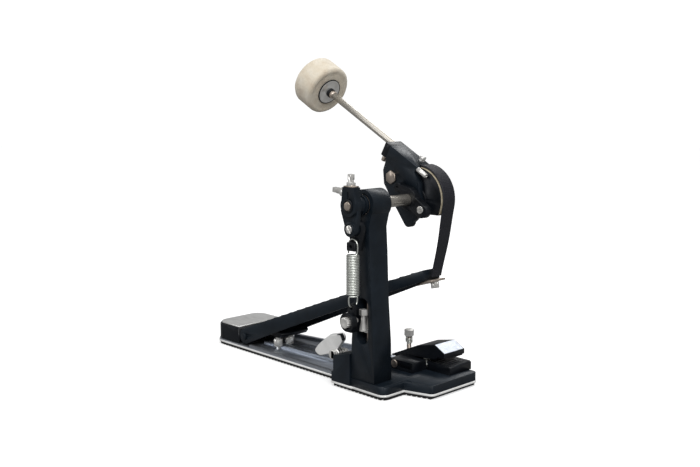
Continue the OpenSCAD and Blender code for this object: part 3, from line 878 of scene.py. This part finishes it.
def return_spring():
    """Close-wound extension spring, hooked round the hanger's lug and the yoke's eye."""
    low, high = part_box("spring")
    wire = 0.85 * MM
    top = JOINTS["spring_stretch"]["deforming_nodes"][0]["fixed_end_z_m"]
    centre = Vector(((low.x + high.x) / 2, (low.y + high.y) / 2, 0))
    radius = (high.x - low.x) / 2 - wire
    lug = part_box("hanger")[0].z + 4.5 * MM
    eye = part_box("adjuster_yoke")[1].z - 4.6 * MM
    turns = 25
    coil = helix(centre, radius, low.z + wire, top - wire, turns, math.pi / 2)
    # Lower hook, in the plane of X and Z
    lower = [centre + Vector((radius * math.cos(a), radius * math.sin(a), low.z - 0.1 * MM))
             for a in (math.pi / 2 - 0.1 * step for step in range(1, 16))]
    foot = centre + Vector((radius, 0, eye + radius))
    far_foot = centre + Vector((-radius, 0, eye + radius))
    lower += [centre + Vector((radius, 0, low.z - 2.0 * MM))]
    lower += half_loop(foot, far_foot, -Z)
    lower += [centre + Vector((-radius, 0, low.z - 1.6 * MM))]
    # Upper hook, in the plane of Y and Z
    wide = radius + 0.5 * MM
    upper = [centre + Vector((0, wide, top + 1.5 * MM))]
    crown = lug + 1 * MM
    upper += half_loop(centre + Vector((0, wide, crown)), centre + Vector((0, -wide, crown)), Z)
    upper += [centre + Vector((0, -wide, top + 0.2 * MM))]
    path = list(reversed(lower)) + coil + upper
    piece = tube("return_spring", smooth_path(path, len(lower), len(coil)), wire, 12)
    settle(piece, None, "spring_steel", ["spring"])
    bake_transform(piece)


def smooth_path(path, before, coil):
    """Eases the corners of the hooks and leaves the coil as it is."""
    points = list(path)
    for _ in range(3):
        eased = list(points)
        for index in range(1, len(points) - 1):
            if before + 4 < index < before + coil - 4:
                continue
            eased[index] = (points[index - 1] + points[index] * 2 + points[index + 1]) / 4
        points = eased
    return points


def compression_spring(node, turns, wire):
    """A plain coil that fills a CAD node's box."""
    low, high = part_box(node)
    centre = Vector(((low.x + high.x) / 2, (low.y + high.y) / 2, 0))
    radius = (high.x - low.x) / 2 - wire
    piece = tube(node + "_coil", helix(centre, radius, low.z + wire, high.z - wire, turns), wire, 10)
    settle(piece, BODY_OF[node], "spring_steel", [node])


return_spring()
compression_spring("jaw_spring", 4.5, 0.75 * MM)
compression_spring("thumb_spring", 4, 0.6 * MM)


# ------------------------------------------------------------------- strap

STRAP_STEP = 0.36 * MM  # between one row of the strap's mesh and the next
STRAP_THICKNESS = 2.3 * MM


def strap_line():
    """The strap's middle line as (place, outward, width), from the holder to the toe.

    Also its hinges, and the radius and first angle of the part round the cam.
    """
    shaft = joint_place("shaft_turn")
    shaft.x = 0
    hinges = [joint_place(f"strap_bend_{number}") for number in (1, 2, 3, 4)]
    radius = (hinges[0] - shaft).length
    start = math.radians(84)
    tangent = math.atan2(hinges[3].z - shaft.z, hinges[3].y - shaft.y)
    outward = Vector((0, math.cos(tangent), math.sin(tangent)))
    down = Vector((0, math.sin(tangent), -math.cos(tangent)))
    reach = span("strap_free", down)[1] - hinges[3].dot(down)
    full, narrow, bow = 20 * MM, 16.8 * MM, 1.3 * MM
    line = []
    arc = radius * (start - tangent)
    for index in range(int((arc + reach) / STRAP_STEP) + 1):
        along = index * STRAP_STEP
        if along <= arc:
            angle = start - along / radius
            out = Vector((0, math.cos(angle), math.sin(angle)))
            line.append((shaft + out * radius, out, full))
        else:
            share = (along - arc) / reach
            lift = bow * math.sin(math.pi * share) ** 2
            place = hinges[3] + down * (along - arc) + outward * lift
            ease = share * share * (3 - 2 * share)
            line.append((place, outward, full + (narrow - full) * ease))
    return line, hinges, radius, start


def webbing(name, rows, first):
    """A length of strap: two ribbed faces, rolled edges, and UVs in metres."""
    across = 56
    rib = 1.6 * MM
    depth = 0.2 * MM
    vertices, where, faces = [], [], []
    around = 2 * (across + 1)
    for row, (place, out, width) in enumerate(rows):
        along = (first + row) * STRAP_STEP
        for side in (1, -1):
            for column in range(across + 1):
                share = column / across
                x = (share - 0.5) * side
                edge = min(1, (1 - abs(2 * x)) * 9)
                half = STRAP_THICKNESS / 2 * math.sqrt(max(0.12, 1 - (1 - edge) ** 2))
                twill = math.sin(math.pi * (x * width + along * 0.5) / rib * 2)
                cross = math.sin(math.pi * along / rib * 1.7)
                height = half + depth * (0.6 * twill + 0.4 * cross) * edge
                vertices.append(place + X * x * width + out * side * height)
                where.append((x * width, along))
    for row in range(len(rows) - 1):
        for column in range(around):
            after = (column + 1) % around
            a, b = row * around + column, row * around + after
            faces.append([a, b, b + around, a + around])
    for row in (0, len(rows) - 1):
        faces.append([row * around + column for column in range(around)])
    mesh = bpy.data.meshes.new(name)
    mesh.from_pydata([tuple(point) for point in vertices], [], faces)
    layer = mesh.uv_layers.new(name="along")
    for loop in mesh.loops:
        layer.data[loop.index].uv = where[loop.vertex_index]
    shape = bmesh.new()
    shape.from_mesh(mesh)
    bmesh.ops.recalc_face_normals(shape, faces=shape.faces)
    shape.to_mesh(mesh)
    shape.free()
    mesh.shade_smooth()
    mesh.set_sharp_from_angle(angle=math.radians(70))
    return link(bpy.data.objects.new(name, mesh))


def strap():
    """The strap in pieces that meet half way between its hinges."""
    line, hinges, radius, start = strap_line()
    shaft = joint_place("shaft_turn")
    places = []
    for hinge in hinges:
        angle = math.atan2(hinge.z - shaft.z, hinge.y - shaft.y)
        places.append(radius * (start - angle))
    cuts = [0] + [int((a + b) / 2 / STRAP_STEP) for a, b in zip(places, places[1:])] + [len(line) - 1]
    nodes = [["strap_wrap"], ["strap_1"], ["strap_2"], ["strap_3", "strap_free"]]
    for index in range(len(hinges)):
        rows = line[cuts[index]:cuts[index + 1] + 1]
        piece = webbing(f"webbing_{index + 1}", rows, cuts[index])
        settle(piece, None, "woven_strap", nodes[index])
        place, outward, _ = line[int(places[index] / STRAP_STEP)]
        down = X.cross(outward).normalized()
        down = down if down.z < 0 else -down
        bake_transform(piece)


strap()


# ------------------------------------------------------------- thumbscrew


def thumbscrew():
    """Knurled head with a turned groove, on a threaded shank."""
    low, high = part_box("thumbscrew")
    axis = frame_at(Vector(((low.x + high.x) / 2, (low.y + high.y) / 2, low.z)), Z, X)
    height = high.z - low.z
    shank_top = height - 8.5 * MM
    pitch = 1.25 * MM
    steps = int(shank_top / (pitch / 5))
    profile = [(0, 0), (1.8 * MM, 0)]
    profile += [(2.9 * MM, 0.6 * MM + (shank_top - 0.6 * MM) * step / steps) for step in range(steps + 1)]
    profile += [(0, shank_top)]
    shank = lathe("thumbscrew_shank", profile, axis, 40, thread(0.45 * MM, pitch))
    settle(shank, BODY_OF["thumbscrew"], "plain_steel")
    head = [(0, shank_top - 0.5 * MM), (4.4 * MM, shank_top - 0.5 * MM), (4.6 * MM, shank_top + 0.7 * MM)]
    grip_low, grip_high = shank_top + 0.9 * MM, height - 0.7 * MM
    head += [(5.8 * MM, grip_low + (grip_high - grip_low) * step / 16) for step in range(17)]
    head += [(5.0 * MM, height - 0.1 * MM), (3.4 * MM, height)]
    head += [(3.1 * MM, height - 0.5 * MM), (0, height - 0.6 * MM)]
    top = lathe("thumbscrew_head", head, axis, 144, knurl(0.4 * MM, 26, 2100))
    settle(top, BODY_OF["thumbscrew"], "chrome_parts", ["thumbscrew"])


thumbscrew()


# ------------------------------------------------------- floor and lighting


def lit_paint(name, white, glow):
    """Plain paint that gives off a little light of its own."""
    paint = bpy.data.materials.new(name)
    paint.use_nodes = True
    shader = paint.node_tree.nodes["Principled BSDF"]
    shader.inputs["Base Color"].default_value = (white, white, white, 1)
    shader.inputs["Roughness"].default_value = 0.7
    shader.inputs["Specular IOR Level"].default_value = 0.1
    shader.inputs["Emission Color"].default_value = (1, 1, 1, 1)
    shader.inputs["Emission Strength"].default_value = glow
    return paint


REACH = 6  # radius of the surround, in metres
LIGHTS = (
    # name, place, size, watts
    ("front", (1.1, 1.15, 1.2), 0.8, 9),
    ("side", (1.7, -0.7, 0.9), 0.7, 3),
    ("back", (-1.0, -0.4, 1.15), 0.8, 7),
)
SKY_FALLS = Vector((-0.45, -0.45, -1))


def floor():
    """A pale floor, just under the pads, that no other surface reflects."""
    ground = bpy.data.meshes.new("floor")
    corners = [(-REACH, -REACH, 0), (REACH, -REACH, 0), (REACH, REACH, 0), (-REACH, REACH, 0)]
    ground.from_pydata(corners, [], [[0, 1, 2, 3]])
    piece = link(bpy.data.objects.new("floor", ground))
    piece.location.z = -0.2 * MM
    piece.visible_diffuse = False
    piece.visible_glossy = False
    piece.data.materials.append(lit_paint("floor_paint", 0.85, 0.34))
    return piece


def surround():
    """A white sphere that only the camera sees."""
    shape = bmesh.new()
    bmesh.ops.create_uvsphere(shape, u_segments=48, v_segments=24, radius=REACH)
    dome = bpy.data.meshes.new("surround")
    shape.to_mesh(dome)
    shape.free()
    piece = link(bpy.data.objects.new("surround", dome))
    piece.data.materials.append(lit_paint("surround_paint", 0.0, 1.05))
    for kind in ("diffuse", "glossy", "transmission", "volume_scatter", "shadow"):
        setattr(piece, "visible_" + kind, False)
    return piece


def lamp(name, kind, aim):
    """A light that shines along a direction."""
    light = bpy.data.lights.new(name, kind)
    holder = link(bpy.data.objects.new(name, light))
    holder.rotation_euler = aim.to_track_quat("-Z", "Y").to_euler()
    return holder, light


def studio():
    """The floor and surround, a dim even world, and soft lights."""
    floor()
    surround()

    world = bpy.data.worlds.new("studio")
    world.use_nodes = True
    world.node_tree.nodes["Background"].inputs["Color"].default_value = (1, 1, 1, 1)
    world.node_tree.nodes["Background"].inputs["Strength"].default_value = 0.26
    bpy.context.scene.world = world

    centre = (cad_low + cad_high) / 2
    for name, place, size, power in LIGHTS:
        holder, light = lamp(name, "AREA", centre - Vector(place))
        holder.location = place
        light.size = size
        light.energy = power
    _, sky = lamp("sky", "SUN", SKY_FALLS)
    sky.energy = 2.1
    sky.angle = math.radians(80)


def camera():
    """The reference view's camera."""
    view = bpy.data.cameras.new("camera")
    view.lens = CAMERA_LENS
    view.sensor_width = CAMERA_SENSOR
    view.sensor_fit = "HORIZONTAL"
    view.clip_start = 0.01
    eye = link(bpy.data.objects.new("camera", view))
    heading = Vector((-math.cos(CAMERA_HEADING), -math.sin(CAMERA_HEADING), 0)) * math.cos(CAMERA_DIP)
    heading.z = -math.sin(CAMERA_DIP)
    eye.location = CAMERA_PLACE
    eye.rotation_euler = heading.to_track_quat("-Z", "Y").to_euler()
    bpy.context.scene.camera = eye


studio()
camera()
bpy.context.scene.view_settings.view_transform = "Standard"
